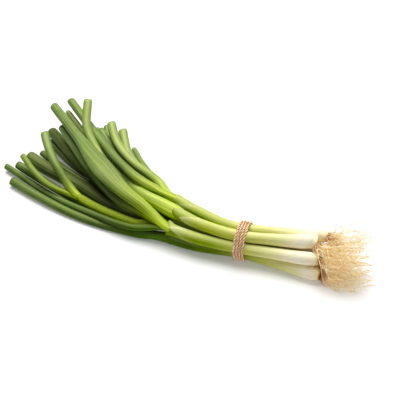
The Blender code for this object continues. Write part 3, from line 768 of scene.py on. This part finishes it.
def make_cord(name, route, seed):
    """Two plies twisted round each other along a route."""
    rng = np.random.default_rng(seed)
    _, side, other = carried_frame(route)
    run = length_along(route)
    plies = []
    for ply in range(2):
        twist = run / LAY_LENGTH * 2 * math.pi + ply * math.pi
        middle = route + PLY_OFFSET * (side * np.cos(twist)[:, None] + other * np.sin(twist)[:, None])
        _, ply_side, ply_other = carried_frame(middle)
        lumps = wave_round(rng, 5, len(route), PLY_COLUMNS, CORD_SPACING, 3.0)
        radius = PLY_RADIUS * (1 + 0.07 * lumps + 0.05 * np.sin(run / 2.3 + ply)[:, None])
        skin = middle[:, None] + radius[..., None] * across(ply_side, ply_other, turns_round(PLY_COLUMNS))
        skin[..., 2] = np.maximum(skin[..., 2], 0.02)
        # out is how far each point lies from the cord's middle: it sets the painted shade in the groove.
        out = np.linalg.norm(skin - route[:, None], axis=2)
        # Each end is closed by a ring of no size at its middle.
        ends = np.repeat(skin[[0, -1]].mean(axis=1, keepdims=True), PLY_COLUMNS, axis=1)
        skin = np.concatenate([ends[:1], skin, ends[1:]])
        lengths = np.concatenate([run[:1], run, run[-1:]])
        marks = {"out": np.concatenate([out[:1], out, out[-1:]]) * MM}
        plies.append(rolled_tube(f"{name}_ply_{ply}", skin, lengths, 2 * math.pi * PLY_RADIUS, marks))
    bpy.ops.object.select_all(action="DESELECT")
    for ply in plies:
        ply.select_set(True)
    bpy.context.view_layer.objects.active = plies[0]
    bpy.ops.object.join()
    plies[0].name = plies[0].data.name = name
    return plies[0]


# Twisted jute: dull and coarse, with fibres of a quarter of a millimetre, light and dark.
jute, surface = new_material("twisted_jute", Roughness=0.85, Sheen_Weight=0.1, Sheen_Roughness=0.6)
fibre = streaks(jute, 0.24, 4.0, 4.0)
tint = set_ramp(add_node(jute, "ShaderNodeValToRGB", {"Fac": fibre}),
                [(0.34, "#8E5E38"), (0.43, "#EFC096"), (0.53, "#FFE4C0"), (0.68, "#FFF8EA")])
# The groove between its plies is painted dark, as painted shade: out is how far a point lies from the
# cord's middle.
out = add_node(jute, "ShaderNodeAttribute", attribute_name="out")
groove_shade = add_node(jute, "ShaderNodeMapRange", {"Value": out.outputs["Fac"]},
                  {"From Min": 0.5 * MM, "From Max": 0.95 * MM})
shaded = add_node(jute, "ShaderNodeMix", {"Factor": groove_shade, 7: tint}, {6: colour("#6E441E")},
                  data_type="RGBA")
jute.node_tree.links.new(shaded.outputs[2], surface.inputs["Base Color"])
bump = add_node(jute, "ShaderNodeBump", {"Height": fibre}, {"Strength": 0.8, "Distance": 0.2 * MM})
jute.node_tree.links.new(bump.outputs[0], surface.inputs["Normal"])

# The turns start at the back, on the leaves' side.
wraps_low, wraps_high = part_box("twine_wraps")
wraps_start = (wraps_low.x / MM + CORD_RADIUS, wraps_high.y / MM - CORD_RADIUS,
               (wraps_low.z + wraps_high.z) / 2 / MM)
wraps_route = cord_route("twine_wraps", wraps_start)
knot_route = cord_route("twine_knot", KNOT_START)
for name, route, node, seed in (("twine_turns", wraps_route, "twine_wraps", 300),
                                ("twine_knot_cord", knot_route, "twine_knot", 301)):
    piece = make_cord(name, route, seed)
    piece.data.materials.append(jute)
    finish_piece(piece, "twine", node)


def stray_fibres(route, count, seed):
    """Short hairs that stand out from a cord."""
    rng = np.random.default_rng(seed)
    ahead, side, other = carried_frame(route)
    paths = []
    for _ in range(count):
        at = rng.integers(2, len(route) - 2)
        turn = rng.uniform(0, 2 * math.pi)
        out = side[at] * math.cos(turn) + other[at] * math.sin(turn)
        lean = ahead[at] * rng.choice([-1, 1]) * rng.uniform(0.3, 1.6)
        length = rng.uniform(1.5, 5.0)
        share = np.linspace(0, 1, 5)[:, None]
        points = (route[at] + out * (PLY_RADIUS + PLY_OFFSET - 0.25)
                  + unit(out * 0.5 + lean) * share * length + out * share**2 * rng.uniform(-0.8, 1.2))
        points[:, 2] = np.maximum(points[:, 2], LOWEST)
        paths.append((points, HAIR_THICKNESS))
    return paths


hairs = stray_fibres(wraps_route, 420, 310) + stray_fibres(knot_route, 130, 311)
piece = thread_bundle("twine_fibres", hairs)
# A hair is given the out of a ply's top, so it gets none of the groove's painted shade.
hairs_out = [HAIR_OUT * MM] * len(piece.data.vertices)
piece.data.attributes.new("out", "FLOAT", "POINT").data.foreach_set("value", hairs_out)
piece.data.materials.append(jute)
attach(piece, "root")

# ---------------------------------------------------------------------------------- table and light
# The bunch lies on a white acrylic table that is lit faintly from below.  A large soft light hangs
# above and behind it, a weak one stands in front, and the room round it is white.
bpy.ops.mesh.primitive_plane_add(size=6, location=(0, 0, -0.0005))
table = bpy.context.object
table.name = "table"
# Frosted white acrylic: matt, and glowing a little with the light below it.
white_table, surface = new_material("lit_white_acrylic", Roughness=0.7, Emission_Strength=0.22)
surface.inputs["Base Color"].default_value = colour("#D2D2D2")
surface.inputs["Emission Color"].default_value = colour("#FFFFFF")
table.data.materials.append(white_table)


def soft_light(name, place, aim, size, power):
    """A square soft light at a place in metres, turned to shine at another."""
    bpy.ops.object.light_add(type="AREA", location=place)
    light = bpy.context.object
    light.name = name
    light.data.size = size
    light.data.energy = power
    light.rotation_euler = (Vector(aim) - Vector(place)).to_track_quat("-Z", "Y").to_euler()


soft_light("key", (-0.4, 1.0, 3.2), (-0.05, 0.05, 0.0), 3.2, 158)
soft_light("fill", (1.0, -2.6, 1.8), (0.0, 0.0, 0.0), 2.4, 16)
world = bpy.data.worlds.new("white_room")
world.use_nodes = True
background = world.node_tree.nodes["Background"]
background.inputs["Color"].default_value = colour("#FFFFFF")
background.inputs["Strength"].default_value = 0.17
bpy.context.scene.world = world
bpy.context.scene.view_settings.view_transform = "Standard"
bpy.context.scene.view_settings.look = "High Contrast"
bpy.context.scene.view_settings.exposure = -0.4
